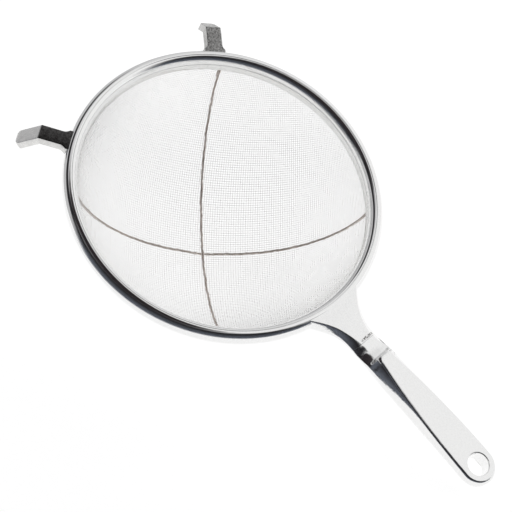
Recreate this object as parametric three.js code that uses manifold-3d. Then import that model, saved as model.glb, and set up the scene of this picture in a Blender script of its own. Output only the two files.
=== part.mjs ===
// A hand strainer: a woven bowl gripped in a polished hoop, with a cast handle and two rest hooks.
// Every piece is drawn in the rim's own frame: the bowl's axis is Z, the rim's middle plane is z = 0 and the
// handle points along +X. The whole strainer is then tipped to lie as it does on a table, on the bottom of its
// bowl and the tail of its handle, with the origin under the middle of its box. Sizes are in millimetres.
import * as THREE from "three";
import { mergeVertices } from "three/addons/utils/BufferGeometryUtils.js";
import Module from "manifold-3d";

const wasm = await Module();
wasm.setup();

// Gap left between pieces that seat on each other.
const clearance = 0.3;

// Rim: an oval hoop whose lip covers a thin band, which grips the edge of the weave.
const bowlRadius = 100;
const rimWidth = 10;
const rimHeight = 12.6;
const bandThickness = 1;
const ringSegments = 64;

// Weave: a square grid of bars laid on the bowl. The real cloth is about ten times finer.
const meshThickness = 0.8;
const meshBarWidth = 2.2;
const meshGapsPerSide = 15;

// Two stiffening wires cross under the weave, with flattened feet under the hoop.
const wireDiameter = 1.6;
const wireFootWidth = 3.2;
const wireFootThickness = 1.2;
const wireFootLength = 14;
const wireDipLength = 9;
const wireAngleA = -37.6;
const wireAngleB = 48;
const wireOffsetA = 4.5;

// Handle: a neck let into the hoop, a seam, a shallow scoop and a grip with a raised pad.
const neckLength = 27;
const neckRootWidth = 56;
const neckWidth = 20.6;
const neckFlare = 2.5;
const neckTopAtRim = 6;
const neckTopAtSeam = 4.5;
const neckBottomAtRim = -5.8;
const neckBottomAtSeam = -5;
const lapDepth = 5;
const gripLength = 118;
const tailWidth = 26;
const tailBottom = -6;
const gripBellyBottom = -8.5;
const gripBellyPlace = 28;
const neckEdgeRound = 3.6;
const gripEdgeRound = 0.8;
const handleShoulder = 0.5;
const handleKeelRound = 6;

// Raised pad of the grip, with the hanging hole in its tail.
const scoopLength = 13.5;
const scoopDepth = 1.8;
const padFrontWidth = 12;
const padFrontHeight = 10.3;
const padTailHeight = 6;
const padTailWidth = 24.8;
const padCorner = 3;
const padThickness = 8;
const padBevel = 1.2;
const padStand = 2;
const padFoot = 0.4;
const hangingHoleDiameter = 14.4;
const hangingHoleChamfer = 0.7;

// Two bent lugs opposite the handle, which hook over the edge of a pot.
const hookAngle = 143;
const hookWidth = 10.6;
const hookThickness = 4.8;
const hookTop = 5.2;
const hookLegLength = 18.5;
const hookTipReach = 14.4;
const hookTipDrop = 15.6;
const hookDraft = 1.5;
const hookEdge = 0.6;
const hookCorner = 2.6;
const hookRootFlare = 2;
const hookRootFlareLength = 4;
const hookBendLength = 3;

// Places that follow from the sizes above.
const rimHalf = rimHeight / 2;
const rimMiddleRadius = bowlRadius + rimWidth / 2;
const rimOuterRadius = bowlRadius + rimWidth;
const bandOuterRadius = bowlRadius + bandThickness;
const meshSkirtRadius = bandOuterRadius + clearance + meshThickness / 2;
const rebateRadius = meshSkirtRadius + meshThickness / 2 + clearance;
const bowlCentreHeight = rimHalf;
const bowlSphereRadius = Math.hypot(meshSkirtRadius, bowlCentreHeight + rimHalf + clearance);
const seamX = rimOuterRadius + neckLength;
const tailCentreX = seamX + gripLength - tailWidth / 2;
const padFrontX = seamX + scoopLength;
const padCornerX = padFrontX + padBevel + padCorner;
const lapRadius = rimOuterRadius - lapDepth;
const farOut = 2 * (seamX + gripLength);

const polishedMetal = new THREE.MeshStandardMaterial({ color: 0xd9dadb, roughness: 0.12, metalness: 1 });
const brushedMetal = new THREE.MeshStandardMaterial({ color: 0xb9b9b7, roughness: 0.38, metalness: 1 });
const wovenWire = new THREE.MeshStandardMaterial({ color: 0xd2d1cd, roughness: 0.4, metalness: 1 });
const darkWire = new THREE.MeshStandardMaterial({ color: 0x6f6862, roughness: 0.45, metalness: 1 });

function toSolid(geometry) {
  const bare = geometry.clone();
  bare.deleteAttribute("normal");
  bare.deleteAttribute("uv");
  const merged = mergeVertices(bare, 1e-4);
  const vertProperties = new Float32Array(merged.attributes.position.array);
  const triVerts = new Uint32Array(merged.index.array);
  return new wasm.Manifold(new wasm.Mesh({ numProp: 3, vertProperties, triVerts }));
}

function toGeometry(solid) {
  const mesh = solid.getMesh();
  const geometry = new THREE.BufferGeometry();
  geometry.setAttribute("position", new THREE.BufferAttribute(new Float32Array(mesh.vertProperties), 3));
  geometry.setIndex(new THREE.BufferAttribute(new Uint32Array(mesh.triVerts), 1));
  geometry.computeVertexNormals();
  return geometry;
}

function fromTriangles(points, triangles) {
  const geometry = new THREE.BufferGeometry();
  const places = points.flatMap((point) => point.toArray());
  geometry.setAttribute("position", new THREE.Float32BufferAttribute(places, 3));
  geometry.setIndex(triangles.flat());
  geometry.computeVertexNormals();
  return geometry;
}

// Closed profile of [radius, height] points, run anticlockwise, turned round the Z axis.
function revolve(profile) {
  const closed = [...profile, profile[0]].map(([radius, height]) => new THREE.Vector2(radius, height));
  return new THREE.LatheGeometry(closed, ringSegments).rotateX(Math.PI / 2);
}

// Skin through rings of points that run anticlockwise round the direction of travel, with flat ends.
function loft(rings) {
  const count = rings[0].length;
  const triangles = [];
  for (let k = 0; k + 1 < rings.length; k += 1) {
    for (let j = 0; j < count; j += 1) {
      const next = (j + 1) % count;
      const [a, b] = [k * count + j, k * count + next];
      const [c, d] = [a + count, b + count];
      triangles.push([a, d, c], [a, b, d]);
    }
  }
  const last = (rings.length - 1) * count;
  for (let j = 1; j + 1 < count; j += 1) {
    triangles.push([0, j + 1, j], [last, last + j, last + j + 1]);
  }
  return fromTriangles(rings.flat(), triangles);
}

function steps(from, to, count) {
  return Array.from({ length: count + 1 }, (_, k) => from + ((to - from) * k) / count);
}

// Oval outline of the hoop's section, from one angle to another; 0 points outwards and 90 up.
function rimOval(fromDegrees, toDegrees, count, grow = 0) {
  return steps(fromDegrees, toDegrees, count).map((degrees) => {
    const angle = THREE.MathUtils.degToRad(degrees);
    const radius = rimMiddleRadius + (rimWidth / 2 + grow) * Math.cos(angle);
    return [radius, (rimHalf + grow) * Math.sin(angle)];
  });
}

// Space taken by the hoop and everything inside it, for pieces that butt against its outside.
function rimSpace() {
  const high = rimHalf + clearance;
  return toSolid(revolve([[0, -high], ...rimOval(-90, 90, 12, clearance), [0, high]]));
}

// Space left free for the hoop by the neck: its lower half whole, and its upper half only up to the lap.
function neckSeatSpace() {
  const low = -rimHalf - clearance;
  return toSolid(revolve([
    [0, low],
    ...rimOval(-90, 0, 6, clearance),
    [lapRadius, 0],
    [lapRadius, rimHeight],
    [0, rimHeight],
  ]));
}

// Everything but the step that the hoop gives up to the neck.
function hoopKeptSpace() {
  return toSolid(revolve([
    [0, -rimHeight],
    [farOut, -rimHeight],
    [farOut, -clearance],
    [lapRadius - clearance, -clearance],
    [lapRadius - clearance, 3 * rimHeight],
    [0, 3 * rimHeight],
  ]));
}

function rimHoop() {
  const section = [[rebateRadius, -rimHalf], ...rimOval(-90, 180, 12), [rebateRadius, 0]];
  const neckStep = toSolid(neckLoft(clearance, rimHeight)).subtract(hoopKeptSpace());
  return toGeometry(toSolid(revolve(section)).subtract(neckStep));
}

function clampBand() {
  return revolve([
    [bowlRadius, -rimHalf],
    [bandOuterRadius, -rimHalf],
    [bandOuterRadius, -clearance],
    [bowlRadius, -clearance],
  ]);
}

// Square (u, v) from -1 to 1 drawn onto a disc, and the disc onto the bowl's sphere out to its edge.
function onBowl(u, v, radius) {
  const edgeAngle = Math.acos((bowlCentreHeight + rimHalf + clearance) / bowlSphereRadius);
  const x = u * Math.sqrt(1 - (v * v) / 2);
  const y = v * Math.sqrt(1 - (u * u) / 2);
  const reach = Math.hypot(x, y);
  const angle = Math.min(reach, 1) * edgeAngle;
  const out = reach > 0 ? (radius * Math.sin(angle)) / reach : 0;
  return new THREE.Vector3(out * x, out * y, bowlCentreHeight - radius * Math.cos(angle));
}

// One net of bars: each grid cell is a square frame round a gap, and the outer edge turns up as a skirt.
function meshBowl() {
  const count = meshGapsPerSide;
  const barShare = meshBarWidth / (bowlSphereRadius * Math.PI);
  const line = steps(-1, 1, count);
  const points = [];
  const triangles = [];
  const sides = [bowlSphereRadius + meshThickness / 2, bowlSphereRadius - meshThickness / 2];
  const corner = (i, j, side) => (side * (count + 1) + i) * (count + 1) + j;
  for (const radius of sides) {
    for (const u of line) {
      points.push(...line.map((v) => onBowl(u, v, radius)));
    }
  }
  const quad = (a, b, c, d) => triangles.push([a, b, c], [a, c, d]);
  for (let i = 0; i < count; i += 1) {
    for (let j = 0; j < count; j += 1) {
      const inset = [[0, 0], [1, 0], [1, 1], [0, 1]].map(([di, dj]) => [
        line[i + di] + (di ? -barShare : barShare),
        line[j + dj] + (dj ? -barShare : barShare),
      ]);
      const first = points.length;
      for (const radius of sides) {
        points.push(...inset.map(([u, v]) => onBowl(u, v, radius)));
      }
      const outerRing = [[0, 0], [1, 0], [1, 1], [0, 1]].map(([di, dj]) => [i + di, j + dj]);
      for (let k = 0; k < 4; k += 1) {
        const n = (k + 1) % 4;
        const [below, belowNext] = [corner(...outerRing[k], 0), corner(...outerRing[n], 0)];
        const [above, aboveNext] = [corner(...outerRing[k], 1), corner(...outerRing[n], 1)];
        quad(below, first + k, first + n, belowNext);
        quad(above, aboveNext, first + 4 + n, first + 4 + k);
        quad(first + k, first + 4 + k, first + 4 + n, first + n);
      }
    }
  }
  const edge = [
    ...steps(0, count - 1, count - 1).map((i) => [i, 0]),
    ...steps(0, count - 1, count - 1).map((j) => [count, j]),
    ...steps(count, 1, count - 1).map((i) => [i, count]),
    ...steps(count, 1, count - 1).map((j) => [0, j]),
  ];
  const skirtTop = -2 * clearance;
  const skirt = points.length;
  for (const radius of [meshSkirtRadius + meshThickness / 2, meshSkirtRadius - meshThickness / 2]) {
    for (const height of [-rimHalf, skirtTop]) {
      points.push(...edge.map(([i, j]) => {
        const across = points[corner(i, j, 0)].clone().setZ(0).setLength(radius);
        return across.setZ(height);
      }));
    }
  }
  const around = edge.length;
  for (let k = 0; k < around; k += 1) {
    const n = (k + 1) % around;
    const outside = [corner(...edge[k], 0), corner(...edge[n], 0)];
    const inside = [corner(...edge[k], 1), corner(...edge[n], 1)];
    const row = (r, m) => skirt + r * around + m;
    quad(outside[0], outside[1], row(0, n), row(0, k));
    quad(row(0, k), row(0, n), row(1, n), row(1, k));
    quad(row(1, k), row(1, n), row(3, n), row(3, k));
    quad(row(3, k), row(3, n), row(2, n), row(2, k));
    quad(row(2, k), row(2, n), inside[1], inside[0]);
  }
  return fromTriangles(points, triangles);
}

// Round wire that follows the bowl in an upright plane, flattened towards its two feet under the hoop.
// At the crossing, the lower wire dips by one wire's thickness.
function crossWire(angleDegrees, offset, dips, crossing) {
  const radius = wireDiameter / 2;
  const follow = bowlSphereRadius + meshThickness / 2 + clearance + radius;
  const circle = Math.sqrt(follow * follow - offset * offset);
  const end = Math.acos((bowlCentreHeight + rimHalf + clearance) / circle);
  const angle = THREE.MathUtils.degToRad(angleDegrees);
  const along = new THREE.Vector3(Math.cos(angle), Math.sin(angle), 0);
  const side = new THREE.Vector3(-Math.sin(angle), Math.cos(angle), 0);
  const rings = steps(-end, end, 48).map((turn) => {
    const out = along.clone().multiplyScalar(Math.sin(turn)).setZ(-Math.cos(turn));
    const toFoot = (end - Math.abs(turn)) * circle;
    const flat = THREE.MathUtils.smoothstep(wireFootLength - toFoot, 0, wireFootLength);
    const halfWide = THREE.MathUtils.lerp(radius, wireFootWidth / 2, flat);
    const halfThick = THREE.MathUtils.lerp(radius, wireFootThickness / 2, flat);
    const away = (turn * circle - crossing) / wireDipLength;
    const dip = dips ? (wireDiameter + clearance) * Math.exp(-away * away) : 0;
    const seat = radius - halfThick;
    const middle = side.clone().multiplyScalar(offset).addScaledVector(out, circle + dip - seat);
    middle.z += bowlCentreHeight;
    return steps(0, 7, 7).map((k) => {
      const round = (k * Math.PI) / 4 + Math.PI / 8;
      return middle.clone()
        .addScaledVector(side, -halfWide * Math.cos(round))
        .addScaledVector(out, halfThick * Math.sin(round));
    });
  });
  return loft(rings);
}

// Convex handle section across X: a flat top with rounded edges, sides that slope out to the widest line at the
// shoulder, and below it a keel that rounds in to a flat bottom.
function handleSection(x, halfWidth, topHalfWidth, edgeRound, top, bottom) {
  const round = Math.min(edgeRound, 0.8 * topHalfWidth);
  const keel = Math.min(handleKeelRound, 0.8 * halfWidth);
  const curve = (y, z, wide, tall, from, count) => steps(from, from + 90, count).map((degrees) => {
    const angle = THREE.MathUtils.degToRad(degrees);
    return new THREE.Vector3(x, y + wide * Math.cos(angle), z + tall * Math.sin(angle));
  });
  const deep = handleShoulder - bottom;
  return [
    ...curve(topHalfWidth - round, top - round, round, round, 0, 3),
    ...curve(round - topHalfWidth, top - round, round, round, 90, 3),
    ...curve(keel - halfWidth, handleShoulder, keel, deep, 180, 4),
    ...curve(halfWidth - keel, handleShoulder, keel, deep, 270, 4),
  ];
}

// Neck from inside the hoop to the seam: its plan flares towards the rim, and its top falls a little.
function neckLoft(grow = 0, rise = 0) {
  const end = seamX - clearance / 2;
  const start = lapRadius - lapDepth;
  const rings = steps(start, end, 14).map((x) => {
    const share = THREE.MathUtils.clamp((seamX - x) / (seamX - lapRadius), 0, 1);
    const halfWidth = neckWidth / 2 + ((neckRootWidth - neckWidth) / 2) * share ** neckFlare + grow;
    const top = THREE.MathUtils.lerp(neckTopAtSeam, neckTopAtRim, share);
    const bottom = THREE.MathUtils.lerp(neckBottomAtSeam, neckBottomAtRim, share);
    return handleSection(x, halfWidth, halfWidth - clearance, neckEdgeRound, top + rise, bottom);
  });
  return loft(rings);
}

function handleNeck() {
  return toGeometry(toSolid(neckLoft()).subtract(neckSeatSpace()));
}

function padTopAt(x) {
  return THREE.MathUtils.mapLinear(x, padFrontX, tailCentreX, padFrontHeight, padTailHeight);
}

// Half-width of the pad along the handle: it swells quickly behind its blunt front, then runs almost straight.
function padHalfWidth(x) {
  const ahead = 1 - THREE.MathUtils.clamp((x - padCornerX) / (tailCentreX - padCornerX), 0, 1);
  return THREE.MathUtils.lerp(padTailWidth, padFrontWidth, ahead * ahead) / 2;
}

// Body of the grip under its pad: a scoop behind the seam, a full belly and a rounded tail.
function gripBody() {
  const start = seamX + clearance / 2;
  const places = [
    ...steps(start, padFrontX, 6),
    ...steps(padFrontX, tailCentreX, 12).slice(1),
    ...[15, 30, 45, 60, 74, 84].map((degrees) => {
      return tailCentreX + (tailWidth / 2) * Math.sin(THREE.MathUtils.degToRad(degrees));
    }),
  ];
  const belly = new THREE.SplineCurve([
    new THREE.Vector2(start, neckBottomAtSeam),
    new THREE.Vector2(seamX + gripBellyPlace, gripBellyBottom),
    new THREE.Vector2(tailCentreX, tailBottom),
    new THREE.Vector2(seamX + gripLength, tailBottom),
  ]).getPoints(60);
  const rings = places.map((x) => {
    const taper = THREE.MathUtils.mapLinear(x, seamX, tailCentreX, neckWidth / 2, tailWidth / 2);
    const intoTail = x - tailCentreX;
    const round = Math.sqrt(Math.max((tailWidth / 2) ** 2 - intoTail ** 2, 0));
    const scoop = Math.sin((Math.PI * Math.min(x - start, scoopLength)) / scoopLength);
    const rise = THREE.MathUtils.smoothstep(x, padFrontX, padFrontX + padCorner);
    const top = THREE.MathUtils.lerp(neckTopAtSeam - scoopDepth * scoop, padTopAt(x) - padStand, rise);
    const bottom = belly.find((point) => point.x >= x)?.y ?? tailBottom;
    const halfWidth = intoTail > 0 ? round : taper;
    const topHalfWidth = THREE.MathUtils.lerp(halfWidth, padHalfWidth(x) + padFoot, rise);
    const edgeRound = THREE.MathUtils.lerp(neckEdgeRound, gripEdgeRound, rise);
    return handleSection(x, halfWidth, Math.min(topHalfWidth, halfWidth - clearance), edgeRound, top, bottom);
  });
  return loft(rings);
}

// Tongue-shaped pad: it widens from a blunt front to a round tail, and its top falls towards the tail.
function gripPad() {
  const [front, tail] = [padFrontWidth / 2 - padBevel, padTailWidth / 2 - padBevel];
  const middle = (padCornerX + tailCentreX) / 2;
  const nose = padCornerX - padCorner;
  const outline = new THREE.Shape();
  outline.moveTo(padCornerX, -front);
  outline.quadraticCurveTo(middle, -tail, tailCentreX, -tail);
  outline.absarc(tailCentreX, 0, tail, -Math.PI / 2, Math.PI / 2, false);
  outline.quadraticCurveTo(middle, tail, padCornerX, front);
  outline.quadraticCurveTo(nose, front, nose, front - padCorner);
  outline.lineTo(nose, padCorner - front);
  outline.quadraticCurveTo(nose, -front, padCornerX, -front);
  const pad = new THREE.ExtrudeGeometry(outline, {
    depth: padThickness - 2 * padBevel,
    bevelThickness: padBevel,
    bevelSize: padBevel,
    bevelSegments: 2,
    curveSegments: 10,
  });
  const fall = Math.atan2(padFrontHeight - padTailHeight, tailCentreX - padFrontX);
  return pad.translate(-padFrontX, 0, padBevel - padThickness)
    .rotateY(fall)
    .translate(padFrontX, 0, padFrontHeight);
}

function hangingHoleSpace() {
  const radius = hangingHoleDiameter / 2;
  const hole = revolve([
    [0, -rimHeight],
    [radius, -rimHeight],
    [radius, padTailHeight - hangingHoleChamfer],
    [radius + rimHeight, padTailHeight - hangingHoleChamfer + rimHeight],
    [0, padTailHeight - hangingHoleChamfer + rimHeight],
  ]);
  return toSolid(hole.translate(tailCentreX, 0, 0));
}

function handleGrip() {
  return toGeometry(toSolid(gripBody()).add(toSolid(gripPad())).subtract(hangingHoleSpace()));
}

// Bent lug, drawn along +X: a strip with sloping sides, flared at its root and rounded at the tip's corners.
// Its sections stand at distances from the bend, and lean over as the strip turns down.
function hookLug() {
  const bendX = rimOuterRadius + hookLegLength;
  const turn = Math.atan2(hookTipDrop, hookTipReach);
  const tipLength = Math.hypot(hookTipReach, hookTipDrop);
  const places = [
    ...steps(-hookLegLength - rimWidth / 2, hookRootFlareLength - hookLegLength, 6),
    -hookBendLength,
    0,
    hookBendLength,
    ...steps(0, 80, 4).map((degrees) => {
      return tipLength - hookCorner + hookCorner * Math.sin(THREE.MathUtils.degToRad(degrees));
    }),
  ];
  const rings = places.map((place) => {
    const onTip = Math.max(place, 0);
    const share = THREE.MathUtils.clamp((place + hookBendLength) / (2 * hookBendLength), 0, 1);
    const lean = turn * share;
    const thickness = hookThickness / Math.cos(Math.min(lean, turn - lean));
    const toFlareEnd = (hookRootFlareLength - hookLegLength - place) / hookRootFlareLength;
    const flare = hookRootFlare * THREE.MathUtils.clamp(toFlareEnd, 0, 1) ** 2;
    const intoCorner = Math.max(place - tipLength + hookCorner, 0);
    const cornerCut = hookCorner - Math.sqrt(hookCorner ** 2 - intoCorner ** 2);
    const half = hookWidth / 2 + flare - cornerCut;
    const topX = bendX + Math.min(place, 0) + onTip * Math.cos(turn);
    const topZ = hookTop - onTip * Math.sin(turn);
    const [wide, deep] = [half + hookDraft, thickness - hookEdge];
    const section = [
      [half, hookEdge],
      [half - hookEdge, 0],
      [hookEdge - half, 0],
      [-half, hookEdge],
      [-wide, deep],
      [hookEdge - wide, thickness],
      [wide - hookEdge, thickness],
      [wide, deep],
    ];
    return section.map(([across, depth]) => {
      return new THREE.Vector3(topX - depth * Math.sin(lean), across, topZ - depth * Math.cos(lean));
    });
  });
  return toGeometry(toSolid(loft(rings)).subtract(rimSpace()));
}

const rimFrame = new THREE.Group();

function place(name, geometry, material, turnDegrees = 0) {
  const mesh = new THREE.Mesh(geometry, material);
  mesh.name = name;
  mesh.rotation.z = THREE.MathUtils.degToRad(turnDegrees);
  rimFrame.add(mesh);
}

// Where wire B meets the upright plane of wire A, measured along wire B from the bowl's axis.
const wireCrossing = wireOffsetA / Math.sin(THREE.MathUtils.degToRad(wireAngleB - wireAngleA));

place("rim_hoop", rimHoop(), polishedMetal);
place("clamp_band", clampBand(), brushedMetal);
place("mesh_bowl", meshBowl(), wovenWire);
place("cross_wire_a", crossWire(wireAngleA, wireOffsetA, false, 0), darkWire);
place("cross_wire_b", crossWire(wireAngleB, 0, true, wireCrossing), darkWire);
place("handle_neck", handleNeck(), polishedMetal);
place("handle_grip", handleGrip(), polishedMetal);
place("hook_left", hookLug(), brushedMetal, -hookAngle);
place("hook_right", hookLug(), brushedMetal, hookAngle);

// Tip that brings the bowl's underside and the tail's lower edge to the same level.
const restRadius = bowlSphereRadius + meshThickness / 2;
const tailReach = tailCentreX + tailWidth / 2;
const tailDrop = bowlCentreHeight - tailBottom;
rimFrame.rotation.y = Math.asin(restRadius / Math.hypot(tailReach, tailDrop)) - Math.atan2(tailDrop, tailReach);

const strainer = new THREE.Group();
strainer.add(rimFrame);
strainer.updateMatrixWorld(true);
const box = new THREE.Box3().setFromObject(strainer, true);
rimFrame.position.set(-(box.min.x + box.max.x) / 2, -(box.min.y + box.max.y) / 2, -box.min.z);
strainer.updateMatrixWorld(true);

export default strainer;
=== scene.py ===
import math

import bmesh
import bpy
import numpy as np
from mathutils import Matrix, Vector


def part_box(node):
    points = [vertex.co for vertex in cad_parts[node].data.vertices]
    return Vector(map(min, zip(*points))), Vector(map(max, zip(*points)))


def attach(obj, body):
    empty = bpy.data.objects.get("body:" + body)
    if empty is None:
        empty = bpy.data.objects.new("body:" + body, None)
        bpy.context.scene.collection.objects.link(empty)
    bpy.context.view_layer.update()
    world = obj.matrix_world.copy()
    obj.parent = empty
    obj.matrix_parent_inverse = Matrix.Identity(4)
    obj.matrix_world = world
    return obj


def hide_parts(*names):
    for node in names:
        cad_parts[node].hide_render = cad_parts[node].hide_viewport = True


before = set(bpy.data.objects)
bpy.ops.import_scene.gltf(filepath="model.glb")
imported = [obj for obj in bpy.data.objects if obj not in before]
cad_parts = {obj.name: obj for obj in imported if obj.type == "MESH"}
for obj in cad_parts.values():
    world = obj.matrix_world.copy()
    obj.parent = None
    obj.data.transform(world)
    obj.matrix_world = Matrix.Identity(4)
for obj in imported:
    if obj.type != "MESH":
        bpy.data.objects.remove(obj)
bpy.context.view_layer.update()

bl_info = {
    "name": "Mesh Strainer",
    "version": (1, 0, 0),
    "blender": (4, 5, 0),
    "location": "View3D > Sidebar > Strainer",
    "description": "Builds the polished, woven and cast surfaces of a hand strainer around its solid frame",
    "category": "Add Mesh",
}

FACET_ALLOWANCE = 0.00005  # smooth surfaces stay this far inside the frame's flat facets
JOIN_DISTANCE = 1e-7  # points nearer than this are one point
PATCH_SHARE = 0.35  # scale of a metal's dull patches, as a share of its grain's


def length(name, description, default):
    """A size in metres that a user may change."""
    return bpy.props.FloatProperty(
        name=name, description=description, default=default, precision=5, unit="LENGTH")


def angle(name, description, degrees):
    """An angle that a user may change, given here in degrees."""
    return bpy.props.FloatProperty(
        name=name, description=description, default=math.radians(degrees), subtype="ANGLE")


def colour(name, description, default):
    """A surface colour that a user may change."""
    return bpy.props.FloatVectorProperty(
        name=name, description=description, default=default, size=3, min=0, max=1, subtype="COLOR")


class StrainerRimSizes(bpy.types.PropertyGroup):
    """Hoop, clamp band, weave and stay wires."""

    clearance: length("Clearance", "Gap between seated pieces", 0.0003)
    bowl_radius: length("Bowl radius", "Clear radius inside the clamp band", 0.1)
    rim_width: length("Rim width", "Width of the hoop's oval section", 0.01)
    rim_height: length("Rim height", "Height of the hoop's oval section", 0.0126)
    groove_depth: length("Groove depth", "Depth of the fold round the hoop's crest", 0.0002)
    band_thickness: length("Band thickness", "Wall of the clamp band", 0.001)
    cloth_thickness: length("Cloth thickness", "Room for the weave between band and hoop", 0.0008)
    weave_pitch: length("Weave pitch", "Distance from wire to wire in the cloth", 0.0018)
    weave_wire: length("Weave wire", "Diameter of the cloth's wires", 0.00026)
    stay_wire: length("Stay wire", "Diameter of the two stiffening wires", 0.00194)
    stay_twist: length("Stay twist", "Length of one turn of the wire's twist", 0.0095)
    stay_wander: length("Stay wander", "How far a stiffening wire strays to either side", 0.00012)
    stay_foot_width: length("Stay foot width", "Width of the wire's flattened end", 0.0032)
    stay_foot_thickness: length("Stay foot thickness", "Thickness of the wire's flattened end", 0.0012)
    stay_foot_length: length("Stay foot length", "Length over which the wire flattens", 0.014)
    stay_dip_length: length("Stay dip length", "Half the length of the dip where the wires cross", 0.009)
    stay_offset: length("Stay offset", "Distance of the first wire from the bowl's axis", 0.0045)
    stay_angle_a: angle("Stay angle A", "Direction of the first wire", -37.6)
    stay_angle_b: angle("Stay angle B", "Direction of the second wire", 48)


class StrainerHandleSizes(bpy.types.PropertyGroup):
    """Neck, grip and rest hooks."""

    lap_depth: length("Lap depth", "How far the neck reaches into the hoop", 0.005)
    neck_length: length("Neck length", "From the hoop's outside to the seam", 0.027)
    seam_gap: length("Seam gap", "Hairline between neck and grip", 0.00008)
    neck_root_width: length("Neck root width", "Width of the neck at the hoop", 0.056)
    neck_width: length("Neck width", "Width of the neck at the seam", 0.0206)
    neck_top_at_rim: length("Neck top at rim", "Height of the neck's flat at the hoop", 0.006)
    neck_top_at_seam: length("Neck top at seam", "Height of the neck's flat at the seam", 0.0045)
    neck_bottom_at_rim: length("Neck bottom at rim", "Underside of the neck at the hoop", -0.0058)
    neck_bottom_at_seam: length("Neck bottom at seam", "Underside of the neck at the seam", -0.005)
    neck_edge: length("Neck edge", "Width and height of the facets beside the neck's flat", 0.0036)
    scoop_edge: length("Scoop edge", "Width of the facets beside the scoop", 0.0085)
    shoulder: length("Shoulder", "Height of the neck's widest line", 0.0005)
    grip_shoulder: length("Grip shoulder", "Height of the grip's widest line", 0.003)
    keel: length("Keel", "Rounding of the handle's lower edges", 0.006)
    grip_length: length("Grip length", "From the seam to the tail's end", 0.118)
    tail_width: length("Tail width", "Width of the handle at its tail", 0.026)
    tail_bottom: length("Tail bottom", "Underside of the tail", -0.006)
    belly_bottom: length("Belly bottom", "Lowest underside of the grip", -0.0085)
    belly_place: length("Belly place", "Distance of the belly from the seam", 0.028)
    scoop_length: length("Scoop length", "From the seam to the pad's front", 0.0135)
    scoop_depth: length("Scoop depth", "Depth of the scoop behind the seam", 0.0007)
    pad_front_width: length("Pad front width", "Width of the raised pad at its front", 0.012)
    pad_tail_width: length("Pad tail width", "Width of the raised pad at its tail", 0.0248)
    pad_front_height: length("Pad front height", "Height of the pad's top at its front", 0.0103)
    pad_tail_height: length("Pad tail height", "Height of the pad's top at its tail", 0.006)
    pad_corner: length("Pad corner", "Rounding of the pad's front corners in plan", 0.003)
    pad_bevel: length("Pad bevel", "Rounding of the pad's upper edge", 0.0019)
    hole_diameter: length("Hole diameter", "Hanging hole in the tail", 0.0144)
    hole_chamfer: length("Hole chamfer", "Chamfer at the hole's mouth", 0.0007)
    hook_angle: angle("Hook angle", "Direction of each hook from the handle", 143)
    hook_width: length("Hook width", "Width of the hook's upper face", 0.0106)
    hook_thickness: length("Hook thickness", "Thickness of the hook's strip", 0.0048)
    hook_top: length("Hook top", "Height of the hook's upper face", 0.0052)
    hook_leg: length("Hook leg", "From the hoop's outside to the bend", 0.0185)
    hook_tip_reach: length("Hook tip reach", "From the bend outwards to the tip", 0.0144)
    hook_tip_drop: length("Hook tip drop", "From the bend down to the tip", 0.0156)
    hook_draft: length("Hook draft", "How far the hook's sides slope out", 0.0015)
    hook_corner: length("Hook corner", "Rounding of the tip's corners", 0.0026)
    hook_flare: length("Hook flare", "Widening of the hook's root", 0.002)


class StrainerColours(bpy.types.PropertyGroup):
    """Finishes of the strainer and its stage."""

    polished: colour("Polished metal", "Hoop and handle", (0.90, 0.90, 0.895))
    band: colour("Band metal", "Clamp band", (0.91, 0.91, 0.90))
    cast: colour("Cast metal", "Rest hooks", (0.82, 0.815, 0.80))
    weave: colour("Weave wire", "Bright cloth", (0.95, 0.945, 0.93))
    stay: colour("Stay wire", "Dull stiffening wires", (0.92, 0.79, 0.71))
    floor: colour("Floor", "Pale floor", (1.0, 1.0, 1.0))
    studio_left: colour("Studio left", "Soft light from the left", (0.56, 0.56, 0.57))
    studio_right: colour("Studio right", "Soft light from the right", (0.95, 0.95, 0.95))
    curtain_low: colour("Curtain foot", "Lower part of the cloth behind the camera", (0.40, 0.43, 0.50))
    curtain_high: colour("Curtain top", "Upper part of the cloth behind the camera", (0.085, 0.08, 0.085))
    canopy: colour("Canopy", "Cloth above the rim", (0.17, 0.14, 0.145))


def sizes():
    """The rim's and the handle's sizes."""
    return bpy.context.scene.strainer_rim, bpy.context.scene.strainer_handle


def rim_placement():
    """Turn and middle of the rim, from the clamp band's box.

    A ring of diameter D and height H tipped by t about Y has a box D cos t + H sin t long and
    D sin t + H cos t tall; solving the two for t gives the tip.
    """
    rim, _ = sizes()
    low, high = (np.array(corner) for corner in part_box("clamp_band"))
    long, _, tall = high - low
    diameter = 2 * (rim.bowl_radius + rim.band_thickness)
    height = rim.rim_height / 2 - rim.clearance
    tip = math.atan2(diameter * tall - height * long, diameter * long - height * tall)
    turn = np.array([[math.cos(tip), 0, math.sin(tip)], [0, 1, 0], [-math.sin(tip), 0, math.cos(tip)]])
    middle = (low + high) / 2 + turn @ [0, 0, height / 2 + rim.clearance]
    return turn, middle


def bowl_sphere():
    """Radius and centre height of the bowl's sphere, which meets the cloth's edge under the hoop."""
    rim, _ = sizes()
    half = rim.rim_height / 2
    edge_radius = rim.bowl_radius + rim.band_thickness + rim.clearance + rim.cloth_thickness / 2
    return math.hypot(edge_radius, rim.rim_height + rim.clearance), half


def smooth(value, low, high):
    """Smooth step from 0 at low to 1 at high."""
    share = np.clip((value - low) / (high - low), 0, 1)
    return share * share * (3 - 2 * share)


def blend(low, high, share):
    """Value at a share of the way from low to high."""
    return low + (high - low) * share


def arc(low, high, count):
    """Evenly spread angles between two that are given in degrees."""
    return np.radians(np.linspace(low, high, count))


def stacked(*parts):
    """Points from arrays of their coordinates."""
    return np.stack(np.broadcast_arrays(*parts), axis=-1)


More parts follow.
